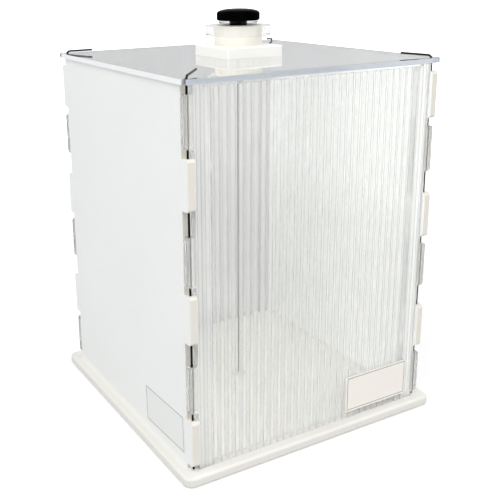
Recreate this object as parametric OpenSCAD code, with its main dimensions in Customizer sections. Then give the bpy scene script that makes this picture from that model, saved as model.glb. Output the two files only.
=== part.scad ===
// Tall square cake carrier: base board, four walls pinned at interlocking corners,
// clear lid with a hub, centre rod and hand knob. Millimetres, +Z up.
// Origin: centre of the base board's underside. Front (fluted sheet) faces -Y.

/* [Walls] */
// outside width across the two solid side sheets
box_w = 420; // [320:1:520]
// outside depth across the two fluted sheets
box_d = 420; // [320:1:520]
// height of the walls above the base board
wall_h = 537.5; // [360:0.5:700]
// thickness of a solid side sheet
side_t = 12; // [8:0.5:16]
// thickness of a fluted sheet
flute_t = 12; // [6:0.5:14]
// distance from one flute rib to the next
flute_pitch = 12; // [8:0.5:20]
// thickness of a flute skin or rib
skin_t = 0.9; // [0.6:0.1:1.5]
// width of the solid edge strip at each end of a fluted sheet
strip_w = 14; // [10:0.5:24]
// height of the strip that closes the top of the flutes
seal_h = 4; // [3:0.5:8]

/* [Knuckles] */
// gap between the two knuckles of a pair
knuckle_gap = 12; // [4:0.5:24]
// gap between one pair of knuckles and the next
pair_gap = 34.5; // [10:0.5:60]
// height of the lowest knuckle above the base board
foot_gap = 7.5; // [6:0.5:30]
// distance from the highest knuckle to the top of the walls
head_gap = 12.5; // [4:0.5:30]
// how far a side sheet's knuckle stands out past the fluted sheet
knuckle_out = 3; // [0:0.5:6]
// bevel on the outer corners of a knuckle
knuckle_bevel = 3.5; // [1:0.5:6]

/* [Corner pins] */
// radius of a corner pin
pin_r = 1.6; // [1.5:0.1:3]
// running clearance round a pin
pin_clear = 0.08; // [0.02:0.01:0.1]
// length of the handle that lies over the lid
handle_len = 39; // [25:1:80]
// upward slope of the handle in degrees
handle_slope = 4; // [0:1:15]

/* [Base] */
// side of the square base board
base_w = 452; // [360:1:600]
// thickness of the base board
base_t = 15; // [9:0.5:20]
// radius of its corners seen from above
base_corner = 14; // [8:1:40]
// rounding of its top and bottom edges
base_edge = 4; // [1:0.5:5]
// radius of the centre rod
rod_r = 2; // [1.5:0.1:6]
// radius of the rod socket's rim
socket_r = 11; // [8:0.5:20]

/* [Lid and hub] */
// thickness of the lid plate
lid_t = 7; // [4:0.2:10]
// how far the lid stands out past the walls
lid_over = 4.5; // [0:0.5:8]
// cut across each lid corner, measured along the edge
lid_cut = 5; // [3:0.5:20]
// side of the square hub block
hub_w = 98; // [80:1:140]
// thickness of the hub block, and of the collar
hub_t = 16; // [10:0.5:24]
// radius of the hub column
column_r = 37; // [25:0.5:45]
// height of the column's top above the lid
column_top = 46; // [35:0.5:80]
// outside radius of the collar
collar_r = 50; // [42:0.5:60]

/* [Knob] */
// outside radius of the knob over its lobes
knob_r = 33; // [25:0.5:40]
// height of the knob with its neck
knob_h = 24.5; // [18:0.5:32]
// radius of the knob's neck
neck_r = 13.5; // [10:0.5:18]
// height of the knob's neck
neck_h = 7; // [5:0.5:10]
// number of lobes
knob_lobes = 7; // [5:1:9]

/* [Hidden] */
$fn = 64;
eps = 0.01;
fit = 0.5;                                   // gap between neighbouring sheets
wall_z = base_t;
top_z = base_t + wall_h;
lid_top = top_z + lid_t;
knuckle_n = 6;
knuckle_len = (wall_h - foot_gap - head_gap - 3 * knuckle_gap - 2 * pair_gap) / knuckle_n;
pair_pitch = 2 * knuckle_len + knuckle_gap + pair_gap;
pin_x = box_w / 2 - side_t / 2;
pin_y = box_d / 2 - flute_t / 2;
side_len = box_d - 2 * flute_t - 2 * fit;     // side sheet without its knuckles
front_len = box_w - 2 * side_t - 2 * fit;     // fluted wall without its knuckles
sheet_len = front_len - 2 * strip_w;          // fluted sheet between the edge strips
sheet_h = wall_h - seal_h;
cells = floor((sheet_len - 8) / flute_pitch);
rib_first = -cells * flute_pitch / 2;
tongue_l = (sheet_len - cells * flute_pitch) / 2 - skin_t - 0.2;
pin_hole_d = 8.5;                             // depth of the pin holes in the base
pin_low = base_t - 8;
bend_r = 6;
pin_slot = 24;                                // slot from a pin to the lid's corner
notch_r = pin_r + 1.1;                        // notch for a pin in a lid corner
disc_r = 30;                                  // clear disc under the knob's head
disc_t = 4;
insert_r = 7;
insert_h = 14;
socket_deep = 8;
socket_up = 2.5;
rod_gap_r = 6;                                // clear hole for the rod in lid and hub
column_seat = 8;                              // depth of the column's seat in the block
screw_in = 38;                                // hub screws from the centre line
knob_z = lid_top + column_top;
rod_low = base_t - socket_deep + 1;
rod_top = knob_z + insert_h - 1;

function knuckle_lo(k) = wall_z + foot_gap + floor(k / 2) * pair_pitch
    + (k % 2) * (knuckle_len + knuckle_gap);

// ---------- shared shapes ----------

// box given by its low and high corners
module span(lo, hi) {
    translate(lo)
        cube([hi[0] - lo[0], hi[1] - lo[1], hi[2] - lo[2]]);
}

// knuckle that points along -Y: root at y = 0, x from -t/2 to t/2, z from 0
module knuckle(t, out, len) {
    b = knuckle_bevel * sqrt(2);
    v = 1.2 * sqrt(2);
    difference() {
        span([-t / 2, -out, 0], [t / 2, 0, len]);
        for (z = [0, len])
            translate([0, -out, z]) rotate([45, 0, 0])
                cube([t + 2, b, b], center = true);
        for (x = [-t / 2, t / 2])
            translate([x, -out, len / 2]) rotate([0, 0, 45])
                cube([v, v, len + 2], center = true);
    }
}

// vertical hole for a corner pin through the whole wall height
module pin_bore(x, y) {
    translate([x, y, wall_z - 1])
        cylinder(r = pin_r + pin_clear, h = wall_h + 2, $fn = 32);
}

// ---------- base ----------

// half section of the base board's rim, reach measured from its own axis
module rim_section(reach) {
    translate([0, 0]) square([reach - base_edge, base_t]);
    translate([0, base_edge]) square([reach, base_t - 2 * base_edge]);
    for (z = [base_edge, base_t - base_edge])
        translate([reach - base_edge, z]) circle(r = base_edge, $fn = 48);
}

module base_blank() {
    c = base_w / 2 - base_corner;
    for (x = [-c, c], y = [-c, c])
        translate([x, y, 0])
            rotate_extrude($fn = 96)
                intersection() {
                    rim_section(base_corner);
                    square([base_corner + 1, base_t]);
                }
    for (a = [0, 90, 180, 270])
        rotate([0, 0, a]) translate([c, c, 0]) rotate([90, 0, 0])
            linear_extrude(height = 2 * c)
                rim_section(base_corner);
    translate([-c, -c, 0]) cube([2 * c, 2 * c, base_t]);
}

module base_board() {
    color([0.96, 0.96, 0.94])
    difference() {
        base_blank();
        for (x = [-pin_x, pin_x], y = [-pin_y, pin_y])
            translate([x, y, base_t - pin_hole_d])
                cylinder(r = pin_r + pin_clear, h = pin_hole_d + 1, $fn = 32);
        translate([0, 0, base_t - socket_deep])
            cylinder(r = socket_r - 3, h = socket_deep + 1);
    }
}

module rod_socket() {
    color([0.93, 0.93, 0.9])
    difference() {
        union() {
            translate([0, 0, base_t - socket_deep])
                cylinder(r = socket_r - 3, h = socket_deep);
            translate([0, 0, base_t])
                cylinder(r = socket_r, h = socket_up - 0.8);
            translate([0, 0, base_t + socket_up - 0.8])
                cylinder(r1 = socket_r, r2 = socket_r - 0.8, h = 0.8);
        }
        translate([0, 0, rod_low])
            cylinder(r = rod_r + 0.02, h = socket_deep + socket_up + 1);
    }
}

module centre_rod() {
    color([0.25, 0.25, 0.27]) {
        translate([0, 0, rod_low])
            cylinder(r = rod_r, h = rod_top - rod_low - 1);
        translate([0, 0, rod_top - 1])
            cylinder(r1 = rod_r, r2 = rod_r - 1, h = 1);
    }
}

// ---------- solid side sheets ----------

// sheet at the -X side: even knuckles at its front end, odd ones at its back end
module side_sheet() {
    out = (box_d - side_len) / 2 + knuckle_out;
    difference() {
        union() {
            span([-box_w / 2, -side_len / 2, wall_z],
                 [-box_w / 2 + side_t, side_len / 2, top_z]);
            for (k = [0 : 2 : knuckle_n - 1])
                translate([-pin_x, -side_len / 2, knuckle_lo(k)])
                    knuckle(side_t, out, knuckle_len);
            for (k = [1 : 2 : knuckle_n - 1])
                translate([-pin_x, side_len / 2, knuckle_lo(k)]) rotate([0, 0, 180])
                    knuckle(side_t, out, knuckle_len);
        }
        pin_bore(-pin_x, -pin_y);
        pin_bore(-pin_x, pin_y);
    }
}

module left_panel() {
    color([0.95, 0.96, 0.95]) side_sheet();
}

module right_panel() {
    color([0.95, 0.96, 0.95]) rotate([0, 0, 180]) side_sheet();
}

// ---------- fluted walls ----------

// twin-wall sheet: two skins joined by ribs, open flutes running up it
module fluted_sheet() {
    y0 = -box_d / 2;
    difference() {
        span([-sheet_len / 2, y0, wall_z],
             [sheet_len / 2, y0 + flute_t, wall_z + sheet_h]);
        for (i = [0 : cells - 1])
            translate([rib_first + i * flute_pitch + skin_t / 2, y0 + skin_t, wall_z - 1])
                cube([flute_pitch - skin_t, flute_t - 2 * skin_t, sheet_h + 2]);
        for (s = [-1, 1])
            span([min(s * (-rib_first + skin_t / 2), s * (sheet_len / 2 + 1)), y0 + skin_t, wall_z - 1],
                 [max(s * (-rib_first + skin_t / 2), s * (sheet_len / 2 + 1)), y0 + flute_t - skin_t,
                  top_z + 1]);
    }
}

module front_panel() {
    color([0.85, 0.88, 0.88]) fluted_sheet();
}

module back_panel() {
    color([0.85, 0.88, 0.88]) rotate([0, 0, 180]) fluted_sheet();
}

// solid strip at the -X end of the front sheet: carries every second knuckle
// from first on, and a tongue that sits inside the sheet's open edge
module edge_strip(first) {
    x0 = -front_len / 2;
    y0 = -box_d / 2;
    difference() {
        union() {
            span([x0, y0, wall_z], [x0 + strip_w, y0 + flute_t, top_z]);
            span([x0 + strip_w - eps, y0 + skin_t + 0.1, wall_z],
                 [x0 + strip_w + tongue_l, y0 + flute_t - skin_t - 0.1, wall_z + sheet_h - 0.1]);
            for (k = [first : 2 : knuckle_n - 1])
                translate([x0, y0 + flute_t / 2, knuckle_lo(k)]) rotate([0, 0, -90])
                    knuckle(flute_t, side_t + fit, knuckle_len);
        }
        pin_bore(-pin_x, -pin_y);
    }
}

module front_left_edge() {
    color([0.8, 0.85, 0.85]) edge_strip(1);
}

module front_right_edge() {
    color([0.8, 0.85, 0.85]) mirror([1, 0, 0]) edge_strip(0);
}

module back_left_edge() {
    color([0.8, 0.85, 0.85])
        rotate([0, 0, 180]) mirror([1, 0, 0]) edge_strip(0);
}

module back_right_edge() {
    color([0.8, 0.85, 0.85]) rotate([0, 0, 180]) edge_strip(1);
}

module top_seal() {
    span([-sheet_len / 2, -box_d / 2, top_z - seal_h],
         [sheet_len / 2, -box_d / 2 + flute_t, top_z]);
}

module front_top_seal() {
    color([0.97, 0.97, 0.97]) top_seal();
}

module back_top_seal() {
    color([0.97, 0.97, 0.97]) rotate([0, 0, 180]) top_seal();
}

// ---------- lid and hub ----------

module lid_plate() {
    w = box_w + 2 * lid_over;
    d = box_d + 2 * lid_over;
    color([0.8, 0.84, 0.86, 0.5])
    difference() {
        translate([-w / 2, -d / 2, top_z]) cube([w, d, lid_t]);
        for (a = [0, 1], b = [0, 1])
            mirror([a, 0, 0]) mirror([0, b, 0]) {
                translate([-w / 2, -d / 2, top_z + lid_t / 2]) rotate([0, 0, 45])
                    cube([lid_cut * sqrt(2), lid_cut * sqrt(2), lid_t + 2], center = true);
                translate([-pin_x, -pin_y, top_z - 1])
                    cylinder(r = notch_r, h = lid_t + 2);
                translate([-pin_x, -pin_y, top_z - 1]) rotate([0, 0, 225])
                    translate([0, 0.3 - notch_r, 0])
                        cube([pin_slot, 2 * notch_r - 0.6, lid_t + 2]);
            }
        translate([0, 0, top_z - 1]) cylinder(r = rod_gap_r, h = lid_t + 2);
        for (x = [-screw_in, screw_in], y = [-screw_in, screw_in]) {
            translate([x, y, top_z - 1]) cylinder(r = 2.7, h = lid_t + 2);
            translate([x, y, top_z - eps]) cylinder(r1 = 4.9, r2 = 2.7, h = 2.2);
        }
    }
}

module hub_block() {
    c = 1.5 * sqrt(2);
    color([0.97, 0.97, 0.95])
    difference() {
        translate([-hub_w / 2, -hub_w / 2, lid_top]) cube([hub_w, hub_w, hub_t]);
        for (a = [0 : 90 : 270])
            rotate([0, 0, a]) {
                translate([hub_w / 2, 0, lid_top + hub_t]) rotate([0, 45, 0])
                    cube([c, hub_w + 2, c], center = true);
                translate([hub_w / 2, hub_w / 2, lid_top + hub_t / 2]) rotate([0, 0, 45])
                    cube([c, c, hub_t + 2], center = true);
            }
        translate([0, 0, lid_top - 1]) cylinder(r = rod_gap_r, h = hub_t + 2);
        translate([0, 0, lid_top + hub_t - column_seat])
            cylinder(r = column_r + 0.05, h = column_seat + 1, $fn = 96);
        for (x = [-screw_in, screw_in], y = [-screw_in, screw_in])
            translate([x, y, lid_top - 1]) cylinder(r = 2.42, h = 11);
    }
}

module hub_column() {
    color([0.97, 0.97, 0.95])
    translate([0, 0, lid_top + hub_t - column_seat])
    difference() {
        union() {
            cylinder(r = column_r, h = column_top - hub_t + column_seat - 1, $fn = 96);
            translate([0, 0, column_top - hub_t + column_seat - 1])
                cylinder(r1 = column_r, r2 = column_r - 1, h = 1, $fn = 96);
        }
        translate([0, 0, -1]) cylinder(r = rod_gap_r, h = column_top + 2);
    }
}

module hub_collar() {
    z0 = lid_top + column_top - hub_t;
    color([0.9, 0.93, 0.94, 0.5])
    difference() {
        union() {
            translate([0, 0, z0])
                cylinder(r1 = collar_r - 0.6, r2 = collar_r, h = 0.6, $fn = 96);
            translate([0, 0, z0 + 0.6])
                cylinder(r = collar_r, h = hub_t - 1.2, $fn = 96);
            translate([0, 0, z0 + hub_t - 0.6])
                cylinder(r1 = collar_r, r2 = collar_r - 0.6, h = 0.6, $fn = 96);
        }
        translate([0, 0, z0 - 1]) cylinder(r = column_r + 0.05, h = hub_t + 2, $fn = 96);
    }
}

module hub_screws() {
    color([0.7, 0.7, 0.72])
    for (x = [-screw_in, screw_in], y = [-screw_in, screw_in])
        translate([x, y, top_z])
            difference() {
                union() {
                    cylinder(r1 = 4.7, r2 = 2.4, h = 2.2, $fn = 48);
                    cylinder(r = 2.4, h = lid_t + 9.5, $fn = 48);
                }
                translate([0, 0, -1]) cylinder(r = 1.5, h = 2.4, $fn = 6);
            }
}

// ---------- knob ----------

module knob_disc() {
    color([0.9, 0.93, 0.94, 0.5])
    translate([0, 0, knob_z + neck_h - disc_t])
        difference() {
            union() {
                cylinder(r1 = disc_r - 0.5, r2 = disc_r, h = 0.5, $fn = 96);
                translate([0, 0, 0.5]) cylinder(r = disc_r, h = disc_t - 0.5, $fn = 96);
            }
            translate([0, 0, -1]) cylinder(r = neck_r + 0.05, h = disc_t + 2);
        }
}

// turned outline of the knob: neck, flat underside, rim and domed top
module knob_outline() {
    n = 14;
    dome = 8;
    polygon(concat(
        [[0, 0], [neck_r - 0.5, 0], [neck_r, 0.5], [neck_r, neck_h],
         [knob_r - 1.5, neck_h], [knob_r, neck_h + 1.5], [knob_r, knob_h - dome]],
        [for (i = [1 : n])
            [knob_r * cos(90 * i / n) * 0.42 + knob_r * 0.58 * (1 - pow(i / n, 3)),
             knob_h - dome + dome * sin(90 * i / n)]]));
}

module knob() {
    color([0.05, 0.05, 0.05])
    translate([0, 0, knob_z])
    difference() {
        rotate_extrude($fn = 96) knob_outline();
        for (i = [0 : knob_lobes - 1])
            rotate([0, 0, 360 * i / knob_lobes + 12]) translate([knob_r + 5.5, 0, -1])
                cylinder(r = 9, h = knob_h + 2, $fn = 48);
        translate([0, 0, -1]) cylinder(r = insert_r + 0.02, h = insert_h + 1.02);
    }
}

module knob_insert() {
    color([0.75, 0.62, 0.3])
    translate([0, 0, knob_z])
        difference() {
            cylinder(r = insert_r, h = insert_h);
            translate([0, 0, -1]) cylinder(r = rod_r + pin_clear, h = insert_h + 2);
        }
}

// ---------- corner pins ----------

// straight pin with a bent handle that lies along +X over the lid
module bent_pin() {
    z_bend = lid_top + pin_r + 2.2 - bend_r * sin(handle_slope);
    run = 90 - handle_slope;
    translate([0, 0, pin_low + 1.2])
        cylinder(r = pin_r, h = z_bend - bend_r - pin_low - 1.2 + eps, $fn = 32);
    translate([0, 0, pin_low])
        cylinder(r1 = pin_r - 0.9, r2 = pin_r, h = 1.2, $fn = 32);
    translate([bend_r, 0, z_bend - bend_r]) rotate([90, 0, 180])
        rotate_extrude(angle = run, $fn = 64)
            translate([bend_r, 0]) circle(r = pin_r, $fn = 32);
    translate([bend_r, 0, z_bend - bend_r]) rotate([0, -handle_slope, 0])
        translate([0, 0, bend_r]) rotate([0, 90, 0])
            cylinder(r = pin_r, h = handle_len, $fn = 32);
}

module corner_pin(x, y, turn) {
    color([0.35, 0.35, 0.37])
        translate([x, y, 0]) rotate([0, 0, turn]) bent_pin();
}

module front_left_pin() {
    corner_pin(-pin_x, -pin_y, 45);
}

module front_right_pin() {
    corner_pin(pin_x, -pin_y, 135);
}

module back_left_pin() {
    corner_pin(-pin_x, pin_y, -45);
}

module back_right_pin() {
    corner_pin(pin_x, pin_y, 225);
}

base_board();
rod_socket();
centre_rod();
front_panel();
back_panel();
left_panel();
right_panel();
front_left_edge();
front_right_edge();
back_left_edge();
back_right_edge();
front_top_seal();
back_top_seal();
lid_plate();
hub_block();
hub_column();
hub_collar();
hub_screws();
knob_disc();
knob();
knob_insert();
front_left_pin();
front_right_pin();
back_left_pin();
back_right_pin();
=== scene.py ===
"""Looks of the square cake carrier: its pieces' finishes, its two blank labels, the stage and the camera."""

import math

import bmesh
import bpy
from mathutils import Matrix, Vector


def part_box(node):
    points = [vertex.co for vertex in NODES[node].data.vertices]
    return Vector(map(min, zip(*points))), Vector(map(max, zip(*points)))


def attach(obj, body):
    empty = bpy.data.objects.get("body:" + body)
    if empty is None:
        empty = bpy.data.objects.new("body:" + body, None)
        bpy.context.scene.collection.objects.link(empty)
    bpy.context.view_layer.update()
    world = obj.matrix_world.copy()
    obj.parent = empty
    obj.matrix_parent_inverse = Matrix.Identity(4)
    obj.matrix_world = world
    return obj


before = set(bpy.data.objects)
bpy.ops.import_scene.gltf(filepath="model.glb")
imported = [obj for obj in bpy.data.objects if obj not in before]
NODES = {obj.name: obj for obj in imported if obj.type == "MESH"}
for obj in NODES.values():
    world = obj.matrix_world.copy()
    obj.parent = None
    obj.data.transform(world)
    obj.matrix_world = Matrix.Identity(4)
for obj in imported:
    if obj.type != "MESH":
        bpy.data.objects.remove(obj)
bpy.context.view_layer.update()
BOARD_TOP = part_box("base_board")[1].z
LID_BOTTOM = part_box("lid_plate")[0].z
COLLAR_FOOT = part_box("hub_collar")[0].z
WALL_OUTSIDE = -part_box("left_panel")[0].x    # from the carrier's middle to a side sheet's outer face
WALL_INSIDE = -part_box("left_panel")[1].x     # and to its inner face
FLUTE = 0.012                                # pitch of the fluted sheets

bl_info = {
    "name": "Cake carrier looks",
    "version": (1, 0, 0),
    "blender": (4, 5, 0),
    "location": "3D View > Sidebar > Carrier",
    "description": "Finishes, labels and stage for a square cake carrier with corner pins",
    "category": "Object",
}


# ---------- shader tools ----------

class Value:
    """A socket that Python's arithmetic works on: each sign adds its Math node."""

    def __init__(self, finish, socket):
        self.finish = finish
        self.socket = socket

    def math(self, operation, *values):
        return self.finish.node("ShaderNodeMath", {"operation": operation}, dict(enumerate(values)))

    def __add__(self, other):
        return self.math("ADD", self, other)

    def __radd__(self, other):
        return self.math("ADD", other, self)

    def __sub__(self, other):
        return self.math("SUBTRACT", self, other)

    def __rsub__(self, other):
        return self.math("SUBTRACT", other, self)

    def __mul__(self, other):
        return self.math("MULTIPLY", self, other)

    def __rmul__(self, other):
        return self.math("MULTIPLY", other, self)

    def __mod__(self, other):
        return self.math("FLOORED_MODULO", self, other)

    def __pow__(self, other):
        return self.math("POWER", self, other)

    def __abs__(self):
        return self.math("ABSOLUTE", self)

    def lower(self, other):
        return self.math("MINIMUM", self, other)

    def higher(self, other):
        return self.math("MAXIMUM", self, other)

    def rise(self, start, end):
        """0 before start, 1 after end, smooth between them."""
        return self.finish.node(
            "ShaderNodeMapRange", {"interpolation_type": "SMOOTHSTEP", "clamp": True},
            {"Value": self, "From Min": start, "From Max": end, "To Min": 0.0, "To Max": 1.0})

    def part(self, axis):
        """One of the three numbers in a vector."""
        return self.finish.node("ShaderNodeSeparateXYZ", inputs={0: self}, out=axis)


BLACK = (0.0, 0.0, 0.0, 1.0)
MILK = (0.93, 0.935, 0.93)          # what scatters in hazy clear plastic
MIRROR = (0.97, 0.97, 0.97)         # what a polished face mirrors
LAMP_LIGHT = (0.98, 0.98, 0.98)     # the share of the lamps' light that a clear piece lets pass
ACRYLIC_IOR = 1.49


class Finish:
    """A node tree, with one method that adds any node to it."""

    def __init__(self, tree, output):
        self.tree = tree
        tree.nodes.clear()
        self.output = tree.nodes.new(output)

    def node(self, kind, settings=(), inputs=(), out=0):
        made = self.tree.nodes.new(kind)
        for name, value in dict(settings).items():
            setattr(made, name, value)
        for name, value in dict(inputs).items():
            if isinstance(value, Value):
                self.tree.links.new(value.socket, made.inputs[name])
            else:
                made.inputs[name].default_value = value
        return Value(self, made.outputs[out])

    def mix(self, factor, a, b):
        """A colour between a and b."""
        return self.node("ShaderNodeMix", {"data_type": "RGBA"},
                         {0: factor, 6: opaque(a), 7: opaque(b)}, out=2)

    def blend(self, factor, a, b):
        """A shader between a and b."""
        return self.node("ShaderNodeMixShader", inputs={0: factor, 1: a, 2: b})

    def ray(self, kind):
        """1 for rays of one kind, such as Is Camera Ray, 0 for the others."""
        return self.node("ShaderNodeLightPath", out=kind)

    def place(self, stretch=(1, 1, 1)):
        """The piece's own coordinates in metres, stretched along each axis."""
        own = self.node("ShaderNodeTexCoord", out="Object")
        return self.node("ShaderNodeVectorMath", {"operation": "MULTIPLY"}, {0: own, 1: stretch})

    def noise(self, scale, detail=2.0, stretch=(1, 1, 1), rough=0.5):
        return self.node("ShaderNodeTexNoise", inputs={
            "Vector": self.place(stretch), "Scale": scale, "Detail": detail, "Roughness": rough})

    def stripes(self, pitch, core, rim):
        """1 on upright lines half a pitch off the middle and each pitch from there, 0 between them."""
        across = self.place().part("X")
        return 1 - abs(across % pitch - pitch / 2).rise(core, rim)

    def bump(self, height, distance, strength):
        return self.node("ShaderNodeBump", inputs={
            "Height": height, "Distance": distance, "Strength": strength}, out="Normal")

    def facing(self, axis):
        """How squarely the surface faces along an axis, 0 to 1."""
        normal = self.node("ShaderNodeNewGeometry", out="Normal")
        return abs(normal.part(axis))

    def principled(self, base, roughness, normal=None, **constants):
        sockets = {"Base Color": opaque(base), "Roughness": roughness}
        if normal is not None:
            sockets["Normal"] = normal
        sockets.update({name.replace("_", " "): value for name, value in constants.items()})
        return self.node("ShaderNodeBsdfPrincipled", inputs=sockets)

    def glass(self, base, roughness, ior=ACRYLIC_IOR, veil=None, milk=MILK, film=None):
        """Clear plastic that bends what is seen through it and lets the lamps' light pass.

        film is the share of it that mirrors, and veil the share that scatters in the colour milk.
        """
        body = self.principled(base, roughness, IOR=ior, Transmission_Weight=1.0)
        if film is not None:
            body = self.blend(film, body, self.principled(MIRROR, roughness, Metallic=1.0))
        if veil is not None:
            body = self.blend(veil, body, self.principled(milk, 0.5, IOR=1.1))
        window = self.node("ShaderNodeBsdfTransparent", inputs={"Color": opaque(LAMP_LIGHT)})
        return self.blend(self.ray("Is Shadow Ray"), body, window)

    def shade(self, shader):
        self.tree.links.new(shader.socket, self.output.inputs["Surface"])


def opaque(colour):
    """A colour of three numbers with its alpha; a linked colour stays as it is."""
    return colour if isinstance(colour, Value) else (*colour[:3], 1.0)


def new_finish(name):
    """An empty material and the tools that fill it."""
    material = bpy.data.materials.new(name)
    material.use_nodes = True
    return material, Finish(material.node_tree, "ShaderNodeOutputMaterial")


def scaled(colour, factor):
    """The same colour, lighter or darker."""
    return tuple(channel * factor for channel in colour[:3])


def dress(names, material):
    """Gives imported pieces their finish."""
    for name in names:
        for slot in NODES[name].material_slots:
            slot.material = material


# ---------- settings ----------

def colour_property(name, description, default):
    return bpy.props.FloatVectorProperty(
        name=name, description=description, default=default, subtype="COLOR", min=0, max=1, size=3)


def length_property(name, description, default):
    return bpy.props.FloatProperty(
        name=name, description=description, default=default, unit="LENGTH", precision=4, min=0)


class CarrierColours(bpy.types.PropertyGroup):
    """Colours of the carrier's pieces, linear."""

    board: colour_property("Board", "Base board's white plastic", (0.87, 0.857, 0.805))
    sheet: colour_property("Side sheet", "White plastic of the two solid sides", (0.858, 0.875, 0.862))
    # darker and warmer than the sheet: partly the sawn plastic's own tone, partly painted shade
    sawn: colour_property("Sheet edge", "Sawn edges of the two solid sides", (0.77, 0.73, 0.65))
    flute: colour_property("Fluted sheet", "Tint of the clear fluted sheets", (0.996, 0.996, 0.99))
    edge: colour_property("Edge strip", "Tint of the clear edge strips", (0.97, 0.975, 0.96))
    seal: colour_property("Top strip", "Strip that closes the flutes", (0.92, 0.93, 0.94))
    lid: colour_property("Lid", "Tint of the clear lid", (0.95, 0.965, 0.98))
    # the blue is painted light that the lid's sawn edges catch
    lid_edge: colour_property("Lid edge", "Sawn edge of the lid", (0.64, 0.69, 0.75))
    block: colour_property("Hub block", "White of the hub block", (0.955, 0.950, 0.905))
    column: colour_property("Column", "Milky cream of the column", (0.75, 0.73, 0.655))
    collar: colour_property("Collar", "Tint of the clear collar", (0.985, 0.985, 0.985))
    disc: colour_property("Disc", "Tint of the clear disc under the knob", (0.80, 0.81, 0.82))
    pin: colour_property("Pin", "Corner pins' steel", (0.035, 0.035, 0.038))
    rod: colour_property("Rod", "Centre rod's steel", (0.010, 0.010, 0.011))
    knob: colour_property("Knob", "Moulded black plastic", (0.0012, 0.0013, 0.0015))
    brass: colour_property("Insert", "Threaded insert in the knob", (0.60, 0.42, 0.16))
    # One paper in two copies: the front one warmer and lighter as painted light, the left one cooler and
    # darker as painted shade.
    lit_front_paper: colour_property("Front label", "Blank front label's paper", (0.95, 0.91, 0.85))
    shaded_left_paper: colour_property("Left label", "Blank left label's paper", (0.84, 0.855, 0.84))
    ink: colour_property("Label line", "Thin line round the label", (0.03, 0.03, 0.03))


class CarrierLabels(bpy.types.PropertyGroup):
    """Sizes of the two blank labels."""

    width: length_property("Width", "Width of a label", 0.122)
    height: length_property("Height", "Height of a label", 0.060)
    corner: length_property("Corner", "Radius of a label's corners", 0.003)
    thickness: length_property("Thickness", "Thickness of a label", 0.0003)
    margin: length_property("Margin", "From the label's edge to its line", 0.003)
    line: length_property("Line", "Width of the line", 0.0009)
    front_from_corner: length_property(
        "Front from corner", "From the right corner to the front label", 0.027)
    front_above_board: length_property("Front above board", "From the board to the front label", 0.0095)
    left_from_corner: length_property("Left from corner", "From the near corner to the left label", 0.0195)
    left_above_board: length_property("Left above board", "From the board to the left label", 0.014)
    left_tilt: bpy.props.FloatProperty(
        name="Left tilt", description="The left label sits a little askew", default=math.radians(2.5),
        subtype="ANGLE")


class CarrierStage(bpy.types.PropertyGroup):
    """Camera, lamps and floor."""

    eye: bpy.props.FloatVectorProperty(
        name="Eye", description="Where the camera stands", default=(-0.6698, -1.0572, 0.6813),
        subtype="TRANSLATION", unit="LENGTH", size=3)
    turn: bpy.props.FloatProperty(
        name="Turn", description="Camera's turn to the right", default=math.radians(29.35), subtype="ANGLE")
    dip: bpy.props.FloatProperty(
        name="Dip", description="Camera's tilt downwards", default=math.radians(15.65), subtype="ANGLE")
    roll: bpy.props.FloatProperty(
        name="Roll", description="Camera's roll", default=math.radians(-0.90), subtype="ANGLE")
    lens: bpy.props.FloatProperty(
        name="Lens", description="Focal length on a 36 mm frame", default=57.42, unit="CAMERA")
    shift: bpy.props.FloatVectorProperty(
        name="Shift", description="How far the frame sits off the lens axis",
        default=(0.1037, -0.1050), size=2)
    key: bpy.props.FloatProperty(
        name="Key light", description="Power of the large lamp on the left", default=22.0, unit="POWER")
    fill: bpy.props.FloatProperty(
        name="Fill light", description="Power of the large lamp in front", default=22.0, unit="POWER")
    room: bpy.props.FloatProperty(
        name="Room light", description="Strength of the light from all round", default=0.80, min=0)
    beyond: bpy.props.FloatProperty(
        name="Beyond", description="Brightness of the floor seen through the carrier", default=0.52, min=0)
    backdrop: bpy.props.FloatProperty(
        name="Backdrop", description="Brightness of the room seen through the carrier", default=0.95, min=0)
    floor: colour_property("Floor", "Pale studio floor", (0.86, 0.86, 0.855))


# ---------- finishes ----------

def white_plastic(name, colour, grain_size, streaks, roughness,
                  edge_tone_and_shade=None, broad="Z", glow=None, shaded_part=None):
    """Solid white plastic: soft clouds, a fine pebble and faint rolling streaks.

    Its edges, which are the faces that don't face along broad, take a darker edge colour, partly their own
    tone and partly painted shade, and those facing along x take more painted shade. glow paints light on the
    piece as emission, and the last option picks the part of it that is painted a tenth darker as shade.
    """
    material, finish = new_finish(name)
    clouds = finish.noise(5.0, detail=3.0)
    pebble = finish.noise(1.0 / grain_size, detail=2.0)
    streak = finish.noise(160.0, detail=2.0, stretch=streaks)
    scuffs = finish.noise(34.0, detail=6.0, rough=0.7).rise(0.60, 0.74)
    base = finish.mix(clouds.rise(0.3, 0.7) * 0.6, colour, scaled(colour, 0.965))
    base = finish.mix(scuffs * 0.10, base, scaled(colour, 0.88))
    # painted shade: the edges take the darker edge colour, and those facing along x a darker one still
    if edge_tone_and_shade:
        side = 1 - finish.facing(broad).rise(0.55, 0.95)
        edge = finish.mix(finish.facing("X").rise(0.6, 0.9), edge_tone_and_shade, scaled(edge_tone_and_shade, 0.74))
        base = finish.mix(side * 0.8, base, edge)
    # painted shade: the picked part of the piece is a tenth darker
    if shaded_part:
        base = finish.mix(shaded_part(finish), base, scaled(colour, 0.90))
    relief = finish.bump(pebble * 0.6 + streak * 0.4, 0.00012, 0.5)
    # painted light: where glow picks, the piece emits its own colour
    through = finish.mix(glow(finish), BLACK, colour) if glow else BLACK
    finish.shade(finish.principled(
        base, roughness + scuffs * 0.12 + clouds * 0.06, relief,
        IOR=1.5, Subsurface_Weight=0.06, Subsurface_Scale=0.004,
        Emission_Color=through, Emission_Strength=1.0))
    return material


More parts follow.
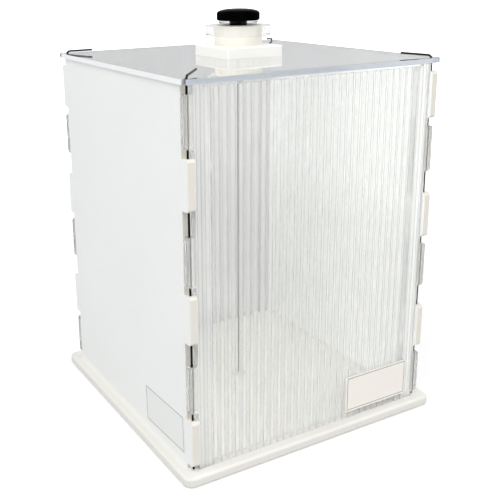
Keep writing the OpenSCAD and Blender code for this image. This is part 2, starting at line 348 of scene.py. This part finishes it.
def indirect(finish):
    """Less where the camera looks straight at the face, with no clear piece before it."""
    return 1 - finish.ray("Is Camera Ray") * 0.7


SHEET_FRONT = (-0.16, 0.12)     # the light on a side sheet fades from front to back over this stretch
SHEET_UPPER = (0.27, 0.36)      # and grows with height over this one


def sheet_glow(finish):
    """Light on a side sheet's inner face: strongest near the front and under the lid."""
    own = finish.place()
    inward = 0 - own.part("X") * finish.node("ShaderNodeNewGeometry", out="Normal").part("X")
    inner_face = inward.rise(WALL_INSIDE * 0.25, WALL_INSIDE * 0.75)
    front = 1 - own.part("Y").rise(*SHEET_FRONT)
    upper = own.part("Z").rise(*SHEET_UPPER)
    return indirect(finish) * inner_face * (0.74 + upper * 0.26) * (0.26 + front * 0.43)


def board_glow(finish):
    """Light on the part of the board's top that lies inside the walls."""
    own = finish.place()
    reach = abs(own.part("X")).higher(abs(own.part("Y")))
    inside = 1 - reach.rise(WALL_INSIDE - 0.008, WALL_INSIDE + 0.002)
    top = own.part("Z").rise(BOARD_TOP - 0.005, BOARD_TOP - 0.001)
    return indirect(finish) * inside * top * 0.17


def board_left_shade(finish):
    """Painted shade on the board's left edge and on the ledge beside the left sheet."""
    return 1 - finish.place().part("X").rise(-WALL_OUTSIDE - 0.012, -WALL_OUTSIDE + 0.004)


CLEAR_ROUGHNESS = 0.012


def clear_plastic(name, tint, marks_scale, roughness=CLEAR_ROUGHNESS, milk=0.0, ior=ACRYLIC_IOR):
    """Clear plastic with fine handling marks; milk is the share of it that scatters."""
    material, finish = new_finish(name)
    marks = finish.noise(marks_scale, detail=5.0, rough=0.65).rise(0.56, 0.72)
    drift = finish.noise(7.0)
    base = finish.mix(drift * 0.7, tint, scaled(tint, 0.975))
    veil = milk * (0.8 + drift * 0.4) if milk else None
    finish.shade(finish.glass(base, roughness + marks * 0.05, ior=ior, veil=veil))
    return material


STRIP_ROUGHNESS = 0.06
STRIP_MILK = 0.34


def edge_strip_plastic(colours):
    """Milky strip with darker upright lines every half flute pitch, and clear knuckles that show the pin."""
    material, finish = new_finish("clear_edge_strip")
    marks = finish.noise(70.0, detail=5.0, rough=0.65).rise(0.56, 0.72)
    drift = finish.noise(7.0)
    flat = 1 - abs(finish.place().part("X")).rise(WALL_INSIDE - 0.0015, WALL_INSIDE + 0.0005)
    line = finish.stripes(FLUTE / 2, 0.0004, 0.0016) * flat * finish.facing("Y").rise(0.6, 0.9)
    base = finish.mix(drift * 0.7, colours.edge, scaled(colours.edge, 0.975))
    base = finish.mix(line, base, scaled(colours.edge, 0.88))
    finish.shade(finish.glass(
        base, CLEAR_ROUGHNESS + flat * (STRIP_ROUGHNESS - CLEAR_ROUGHNESS) + marks * 0.05,
        veil=STRIP_MILK * (0.8 + drift * 0.4) * (0.35 + flat * 0.65),
        milk=finish.mix(line, MILK, scaled(MILK, 0.72))))
    return material


SKIN_VEIL = 0.04
RIB_VEIL = 0.29


def fluted_plastic(colours):
    """Twin-wall sheet: clear skins with drawing lines, a line of painted shade at each rib's foot, slightly
    hazy.
    """
    material, finish = new_finish("clear_fluted_sheet")
    lines = finish.noise(420.0, detail=2.0, stretch=(1, 1, 0))
    haze = finish.noise(9.0, detail=3.0)
    skin = finish.facing("Y").rise(0.6, 0.9)
    rib = finish.facing("X").rise(0.6, 0.9)
    foot = finish.stripes(FLUTE, 0.0007, 0.0024)
    base = finish.mix(haze, colours.flute, scaled(colours.flute, 0.985))
    base = finish.mix(lines.rise(0.45, 0.75) * 0.3, base, scaled(colours.flute, 0.95))
    # painted shade: a darker line on the skins at each rib's foot
    base = finish.mix(skin * foot, base, scaled(colours.flute, 0.95))
    veil = skin * (SKIN_VEIL + haze * 0.01) + rib * RIB_VEIL
    finish.shade(finish.glass(base, CLEAR_ROUGHNESS + haze * 0.006, veil=veil))
    return material


LID_FILM = 0.45
LID_TIP = (0.1985, 0.2025)      # how far out, along x and y, the two prongs of a slotted corner start


def lid_plastic(colours):
    """Polished lid whose sawn edges catch a blue light, except at two corners with clear prongs."""
    material, finish = new_finish("clear_lid_plate")
    marks = finish.noise(60.0, detail=6.0, rough=0.7).rise(0.58, 0.75)
    drift = finish.noise(5.0)
    base = finish.mix(drift * 0.7, colours.lid, scaled(colours.lid, 0.98))
    plate = finish.glass(base, 0.008 + marks * 0.03, film=finish.facing("Z").rise(0.9, 0.99) * LID_FILM)
    saw = finish.noise(300.0, detail=3.0, stretch=(1, 1, 0.2))
    side_edge = finish.facing("X").rise(0.75, 0.95)
    cut = finish.mix(saw * 0.5, colours.lid_edge, scaled(colours.lid_edge, 1.25))
    cut = finish.mix(side_edge, cut, colours.lid)
    rim = finish.principled(cut, 0.25 + saw * 0.2, finish.bump(saw, 0.0002, 0.6), IOR=ACRYLIC_IOR)
    side = (1 - finish.facing("Z").rise(0.3, 0.8)) * (0.74 + side_edge * 0.16)
    own = finish.place()
    prongs = abs(own.part("X")).lower(abs(own.part("Y"))).rise(*LID_TIP)
    unlike = (0 - own.part("X") * own.part("Y")).rise(0.02, 0.03)      # front right and back left corners
    finish.shade(finish.blend(side * (1 - prongs * unlike * 0.85), plate, rim))
    return material


COOL_PAINTED_GLINT = (0.56, 0.57, 0.55)
WARM_PAINTED_GLINT = (0.61, 0.55, 0.45)


def milky_column(colours):
    """Milky white column; where the clear collar covers it, painted shade darkens it and faint warm and cool
    streaks are painted highlights.
    """
    material, finish = new_finish("milky_column")
    clouds = finish.noise(18.0, detail=3.0)
    streaks = finish.noise(70.0, detail=1.0, stretch=(1, 1, 0))
    tints = finish.noise(55.0, detail=1.0, stretch=(1, 1, 0.01))
    tint = finish.mix(tints.rise(0.4, 0.6), COOL_PAINTED_GLINT, WARM_PAINTED_GLINT)
    covered = finish.place().part("Z").rise(COLLAR_FOOT - 0.001, COLLAR_FOOT + 0.001)
    milk = colours.column
    base = finish.mix(clouds * 0.5, milk, scaled(milk, 0.975))
    # painted shade: darker where the collar covers the column
    base = finish.mix(covered, base, scaled(milk, 0.86))
    # painted highlights: warm and cool streaks under the collar
    base = finish.mix(covered * streaks.rise(0.42, 0.62) * 0.7, base, tint)
    finish.shade(finish.principled(
        base, 0.28 + clouds * 0.1, finish.bump(streaks, 0.00008, 0.4),
        IOR=ACRYLIC_IOR, Subsurface_Weight=0.10, Subsurface_Scale=0.006))
    return material


def drawn_steel(name, colour, roughness, shade_below=None):
    """Drawn steel rod: fine lengthwise streaks and small dull spots, with painted shade below a height."""
    material, finish = new_finish(name)
    streaks = finish.noise(900.0, detail=2.0, stretch=(1, 1, 0.03))
    spots = finish.noise(130.0, detail=4.0, rough=0.7).rise(0.58, 0.7)
    base = finish.mix(streaks * 0.6, colour, scaled(colour, 1.5))
    base = finish.mix(spots * 0.4, base, scaled(colour, 0.55))
    # painted shade: the shank below the given height is darker
    if shade_below is not None:
        shank = 1 - finish.place().part("Z").rise(shade_below - 0.002, shade_below + 0.002)
        base = finish.mix(shank * 0.8, base, scaled(colour, 0.15))
    finish.shade(finish.principled(
        base, roughness + spots * 0.15 + streaks * 0.05,
        finish.bump(streaks, 0.00005, 0.5), Metallic=1.0))
    return material


def turned_metal(name, colour, roughness):
    """Small turned fitting: fine rings round its axis."""
    material, finish = new_finish(name)
    rings = finish.noise(1500.0, detail=1.0, stretch=(0.05, 0.05, 1))
    dull = finish.noise(220.0, detail=3.0)
    base = finish.mix(rings * 0.5 + dull * 0.3, colour, scaled(colour, 0.7))
    finish.shade(finish.principled(
        base, roughness + dull * 0.15, finish.bump(rings, 0.00005, 0.4), Metallic=1.0))
    return material


def moulded_black(name, colour, grain, roughness):
    """Moulded black plastic: fine texture with worn, greyer high spots."""
    material, finish = new_finish(name)
    texture = finish.noise(grain, detail=3.0)
    wear = finish.noise(45.0, detail=6.0, rough=0.7).rise(0.55, 0.8)
    base = finish.mix(wear * 0.5, colour, scaled(colour, 2.4))
    finish.shade(finish.principled(
        base, roughness + wear * 0.12, finish.bump(texture, 0.00015, 0.5),
        IOR=1.15, Specular_IOR_Level=0.03))
    return material


def label_paper(paper, ink, labels, name, from_world):
    """Blank paper with a thin line that runs round it inside its edge.

    from_world takes the piece's coordinates to the label's own: x along it, y up it.
    """
    material, finish = new_finish(name)
    own = finish.place()
    along, up = (
        abs(own.part("X") * row[0] + own.part("Y") * row[1] + own.part("Z") * row[2] + row[3])
        for row in from_world[:2])
    inset = labels.margin + labels.line / 2
    from_side = (labels.width / 2 - inset) - along
    from_end = (labels.height / 2 - inset) - up
    edge = abs(from_side.lower(from_end))
    line = 1 - edge.rise(labels.line * 0.35, labels.line * 0.65)
    fibre = finish.noise(1400.0, detail=3.0)
    age = finish.noise(22.0, detail=3.0)
    sheet = finish.mix(fibre * 0.3 + age * 0.4, paper, scaled(paper, 0.93))
    base = finish.mix(line * 0.92, sheet, ink)
    finish.shade(finish.principled(
        base, 0.38 + fibre * 0.15, finish.bump(fibre, 0.00004, 0.4), Coat_Weight=0.15))
    return material


# ---------- labels ----------

# The outside corner at the right-hand end of each labelled wall.
CORNER = {
    "left_panel": Vector((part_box("left_panel")[0].x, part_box("front_panel")[0].y, 0)),
    "front_panel": Vector((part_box("right_panel")[1].x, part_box("front_panel")[0].y, 0)),
}


def rounded_outline(width, height, radius, steps=6):
    """Points of a rectangle with round corners, anticlockwise from the lower right."""
    points = []
    for turn, (sx, sy) in enumerate([(1, -1), (1, 1), (-1, 1), (-1, -1)]):
        for step in range(steps + 1):
            angle = math.radians(90 * (turn - 1) + 90 * step / steps)
            points.append((sx * (width / 2 - radius) + radius * math.cos(angle),
                           sy * (height / 2 - radius) + radius * math.sin(angle)))
    return points


LABEL_RINGS = ((0.0, 0.0), (0.0, 0.6), (0.0002, 1.0))    # inset, and height as a share of the thickness


def label_mesh(name, labels):
    """A thin sheet with round corners and an edge that rolls down to the wall."""
    mesh = bmesh.new()
    loops = []
    for inset, level in LABEL_RINGS:
        outline = rounded_outline(labels.width - 2 * inset, labels.height - 2 * inset,
                                  labels.corner - inset)
        loops.append([mesh.verts.new((x, y, level * labels.thickness)) for x, y in outline])
    count = len(loops[0])
    for low, high in zip(loops, loops[1:]):
        for i in range(count):
            j = (i + 1) % count
            mesh.faces.new((low[i], low[j], high[j], high[i]))
    mesh.faces.new(loops[-1])
    mesh.faces.new(list(reversed(loops[0])))
    data = bpy.data.meshes.new(name)
    mesh.normal_update()
    mesh.to_mesh(data)
    mesh.free()
    return data


def add_label(context, name, wall, outward, from_corner, above_board, paper, tilt=0.0):
    """One blank label near the right-hand end of a wall, seen from outside."""
    labels = context.scene.carrier_labels
    up = Vector((0, 0, 1))
    across = up.cross(outward)
    centre = CORNER[wall] - across * (from_corner + labels.width / 2)
    centre.z = BOARD_TOP + above_board + labels.height / 2
    axis = 0 if abs(outward.x) > 0.5 else 1
    centre[axis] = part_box(wall)[0][axis]
    place = (Matrix.Translation(centre) @ Matrix((across, up, outward)).transposed().to_4x4()
             @ Matrix.Rotation(tilt, 4, "Z"))
    data = label_mesh(name, labels)
    data.transform(place)
    label = bpy.data.objects.new(name, data)
    context.scene.collection.objects.link(label)
    data.materials.append(label_paper(
        paper, context.scene.carrier_colours.ink, labels, name + "_paper", place.inverted()))
    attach(label, "carrier")


# ---------- operators ----------

class CarrierOperator(bpy.types.Operator):
    """Shared by the carrier's operators"""

    bl_options = {"REGISTER", "UNDO"}


class CARRIER_OT_board(CarrierOperator):
    """Finishes the base board and the rod's socket"""

    bl_idname = "carrier.board"
    bl_label = "Base board"

    def execute(self, context):
        colours = context.scene.carrier_colours
        # the board: painted shade on its edges and left side, painted light on its top inside the walls
        dress(["base_board"], white_plastic(
            "white_board", colours.board, 0.0016, (1, 1, 1), 0.38,
            edge_tone_and_shade=scaled(colours.board, 0.93), glow=board_glow, shaded_part=board_left_shade))
        dress(["rod_socket"], white_plastic(
            "white_fitting", colours.board, 0.0009, (1, 1, 1), 0.30))
        return {"FINISHED"}


class CARRIER_OT_sides(CarrierOperator):
    """Finishes the two solid white sides"""

    bl_idname = "carrier.sides"
    bl_label = "Solid sides"

    def execute(self, context):
        colours = context.scene.carrier_colours
        dress(["left_panel", "right_panel"], white_plastic(
            "white_sheet", colours.sheet, 0.0014, (1, 1, 0.02), 0.34,
            edge_tone_and_shade=colours.sawn, broad="X", glow=sheet_glow))
        return {"FINISHED"}


class CARRIER_OT_flutes(CarrierOperator):
    """Finishes the clear fluted walls, their edge strips and top strips"""

    bl_idname = "carrier.flutes"
    bl_label = "Fluted walls"

    def execute(self, context):
        colours = context.scene.carrier_colours
        dress(["front_panel", "back_panel"], fluted_plastic(colours))
        dress(["front_left_edge", "front_right_edge", "back_left_edge", "back_right_edge"],
              edge_strip_plastic(colours))
        dress(["front_top_seal", "back_top_seal"],
              clear_plastic("pale_seal", colours.seal, 90.0, roughness=0.10, milk=0.20))
        return {"FINISHED"}


class CARRIER_OT_lid(CarrierOperator):
    """Finishes the clear lid, its hub and the hub's screws"""

    bl_idname = "carrier.lid"
    bl_label = "Lid and hub"

    def execute(self, context):
        colours = context.scene.carrier_colours
        dress(["lid_plate"], lid_plastic(colours))
        dress(["hub_block"], white_plastic(
            "white_block", colours.block, 0.0012, (1, 1, 0.1), 0.30))
        dress(["hub_column"], milky_column(colours))
        dress(["hub_collar"], clear_plastic("clear_hub", colours.collar, 110.0, milk=0.06, ior=1.12))
        dress(["knob_disc"], clear_plastic("clear_disc", colours.disc, 110.0, ior=1.15))
        dress(["hub_screws"], turned_metal("screw_steel", (0.5, 0.5, 0.52), 0.28))
        return {"FINISHED"}


class CARRIER_OT_knob(CarrierOperator):
    """Finishes the hand knob and its insert"""

    bl_idname = "carrier.knob"
    bl_label = "Hand knob"

    def execute(self, context):
        colours = context.scene.carrier_colours
        dress(["knob"], moulded_black("black_knob", colours.knob, 1100.0, 0.22))
        dress(["knob_insert"], turned_metal("insert_brass", colours.brass, 0.3))
        return {"FINISHED"}


class CARRIER_OT_pins(CarrierOperator):
    """Finishes the corner pins and the centre rod"""

    bl_idname = "carrier.pins"
    bl_label = "Pins and rod"

    def execute(self, context):
        colours = context.scene.carrier_colours
        # painted shade on the pins below the lid
        dress(["front_left_pin", "front_right_pin", "back_left_pin", "back_right_pin"],
              drawn_steel("pin_steel", colours.pin, 0.22, shade_below=LID_BOTTOM))
        dress(["centre_rod"], drawn_steel("steel_rod", colours.rod, 0.28))
        return {"FINISHED"}


class CARRIER_OT_labels(CarrierOperator):
    """Adds the two blank labels"""

    bl_idname = "carrier.labels"
    bl_label = "Blank labels"

    def execute(self, context):
        labels = context.scene.carrier_labels
        colours = context.scene.carrier_colours
        add_label(context, "left_label", "left_panel", Vector((-1, 0, 0)), labels.left_from_corner,
                  labels.left_above_board, colours.shaded_left_paper, labels.left_tilt)
        add_label(context, "front_label", "front_panel", Vector((0, -1, 0)), labels.front_from_corner,
                  labels.front_above_board, colours.lit_front_paper)
        return {"FINISHED"}


LOW_BAND = (0.67, 0.675, 0.68)      # what polished faces mirror of the room, low down
HIGH_ROOM = (0.98, 0.98, 0.98)      # and higher up


def studio_world(scene, strength, backdrop):
    """White where it is seen, softer where it lights; a grey band low down for the glossy lid."""
    world = bpy.data.worlds.new("studio")
    scene.world = world
    world.use_nodes = True
    finish = Finish(world.node_tree, "ShaderNodeOutputWorld")
    height = finish.node("ShaderNodeTexCoord", out="Generated").part("Z")
    mirrored = finish.mix(height.rise(0.10, 0.45), LOW_BAND, HIGH_ROOM)
    room = finish.mix(finish.ray("Is Glossy Ray"), (strength, strength, strength * 1.01), mirrored)
    through = finish.mix(finish.ray("Is Transmission Ray"), room, (backdrop, backdrop, backdrop))
    shown = finish.mix(finish.ray("Is Camera Ray"), through, (1.0, 1.0, 1.0))
    finish.shade(finish.node("ShaderNodeBackground", inputs={"Color": shown, "Strength": 1.0}))


FLOOR_REACH = 14.0      # half the floor's width
FLOOR_DROP = 0.0006     # how far the floor lies under the board, so that the two don't share a plane


def studio_floor(scene, colour, beyond):
    """A broad pale floor whose seen brightness is lifted to the background's white."""
    mesh = bpy.data.meshes.new("floor")
    corners = [(x * FLOOR_REACH, y * FLOOR_REACH, -FLOOR_DROP)
               for x, y in ((-1, -1), (1, -1), (1, 1), (-1, 1))]
    mesh.from_pydata(corners, [], [(0, 1, 2, 3)])
    floor = bpy.data.objects.new("floor", mesh)
    scene.collection.objects.link(floor)
    material, finish = new_finish("pale_floor")
    grain = finish.noise(260.0, detail=3.0)
    own = finish.place()
    squared = own.part("X") ** 2 + own.part("Y") ** 2      # distance from the middle, squared
    far = squared.rise(0.8, 6.0)
    outside = finish.ray("Is Transmission Ray") * squared.rise(0.07, 0.30)
    base = finish.mix(grain * 0.4, colour, scaled(colour, 0.985))
    base = finish.mix(finish.ray("Is Diffuse Ray"), base, scaled(colour, 0.62))
    base = finish.mix(outside, base, BLACK)
    level = beyond + squared.rise(12.0, 70.0) * (0.97 - beyond)
    lift = finish.ray("Is Camera Ray") * (0.25 + far * 0.75) + outside * level
    glow = finish.mix(lift, BLACK, (1, 1, 1))
    finish.shade(finish.principled(
        base, 0.85, finish.bump(grain, 0.0001, 0.2), Emission_Color=glow, Emission_Strength=1.0))
    mesh.materials.append(material)


KEY_PLACE = (-1.45, -0.5, 1.95)
KEY_SIZE = 1.6
FILL_PLACE = (0.7, -2.7, 1.7)
FILL_SIZE = 2.0
LAMP_AIM = (0, 0, 0.3)
BOUNCES = 24        # a look through both fluted walls crosses eight faces or more


def area_lamp(scene, name, place, size, power):
    """A square lamp that the polished lid doesn't mirror, so that the lid isn't white from any side."""
    lamp = bpy.data.lights.new(name, "AREA")
    lamp.shape = "SQUARE"
    lamp.size = size
    lamp.energy = power
    holder = bpy.data.objects.new(name, lamp)
    holder.location = place
    holder.rotation_euler = (Vector(LAMP_AIM) - Vector(place)).to_track_quat("-Z", "Y").to_euler()
    holder.visible_glossy = False
    scene.collection.objects.link(holder)


def studio_camera(scene, stage):
    """Stands where the photograph was taken from, with its tilt and small roll."""
    turn, dip, roll = stage.turn, stage.dip, stage.roll
    ahead = Vector((math.sin(turn) * math.cos(dip), math.cos(turn) * math.cos(dip), -math.sin(dip)))
    right = Vector((math.cos(turn), -math.sin(turn), 0))
    up = right.cross(ahead)
    tilted_right = right * math.cos(roll) + up * math.sin(roll)
    tilted_up = up * math.cos(roll) - right * math.sin(roll)
    data = bpy.data.cameras.new("camera")
    data.sensor_width = 36.0
    data.lens = stage.lens
    data.shift_x, data.shift_y = stage.shift
    camera = bpy.data.objects.new("camera", data)
    camera.matrix_world = (Matrix.Translation(stage.eye)
                           @ Matrix((tilted_right, tilted_up, -ahead)).transposed().to_4x4())
    scene.collection.objects.link(camera)
    scene.camera = camera


class CARRIER_OT_stage(CarrierOperator):
    """Sets up the floor, the lamps, the room's light and the camera"""

    bl_idname = "carrier.stage"
    bl_label = "Stage"

    def execute(self, context):
        scene = context.scene
        stage = scene.carrier_stage
        scene.view_settings.view_transform = "Standard"
        for limit in ("max_bounces", "transmission_bounces", "transparent_max_bounces"):
            setattr(scene.cycles, limit, BOUNCES)
        studio_world(scene, stage.room, stage.backdrop)
        studio_floor(scene, stage.floor, stage.beyond)
        area_lamp(scene, "key_lamp", KEY_PLACE, KEY_SIZE, stage.key)
        area_lamp(scene, "fill_lamp", FILL_PLACE, FILL_SIZE, stage.fill)
        studio_camera(scene, stage)
        return {"FINISHED"}


class CARRIER_PT_panel(bpy.types.Panel):
    """The carrier's settings and steps"""

    bl_idname = "CARRIER_PT_panel"
    bl_label = "Cake carrier"
    bl_space_type = "VIEW_3D"
    bl_region_type = "UI"
    bl_category = "Carrier"

    def draw(self, context):
        layout = self.layout
        for group in ("carrier_colours", "carrier_labels", "carrier_stage"):
            settings = getattr(context.scene, group)
            box = layout.box()
            for name in settings.__annotations__:
                box.prop(settings, name)
        for step in STEPS:
            layout.operator(step.bl_idname)


STEPS = (CARRIER_OT_board, CARRIER_OT_sides, CARRIER_OT_flutes, CARRIER_OT_lid,
         CARRIER_OT_knob, CARRIER_OT_pins, CARRIER_OT_labels, CARRIER_OT_stage)
SETTINGS = {"carrier_colours": CarrierColours, "carrier_labels": CarrierLabels,
            "carrier_stage": CarrierStage}


def register():
    for group in SETTINGS.values():
        bpy.utils.register_class(group)
    for step in STEPS:
        bpy.utils.register_class(step)
    bpy.utils.register_class(CARRIER_PT_panel)
    for name, group in SETTINGS.items():
        setattr(bpy.types.Scene, name, bpy.props.PointerProperty(type=group))


def unregister():
    for name in SETTINGS:
        delattr(bpy.types.Scene, name)
    bpy.utils.unregister_class(CARRIER_PT_panel)
    for step in reversed(STEPS):
        bpy.utils.unregister_class(step)
    for group in reversed(SETTINGS.values()):
        bpy.utils.unregister_class(group)


def main():
    register()
    for step in STEPS:
        group, name = step.bl_idname.split(".")
        getattr(getattr(bpy.ops, group), name)()


if __name__ == "__main__":
    main()
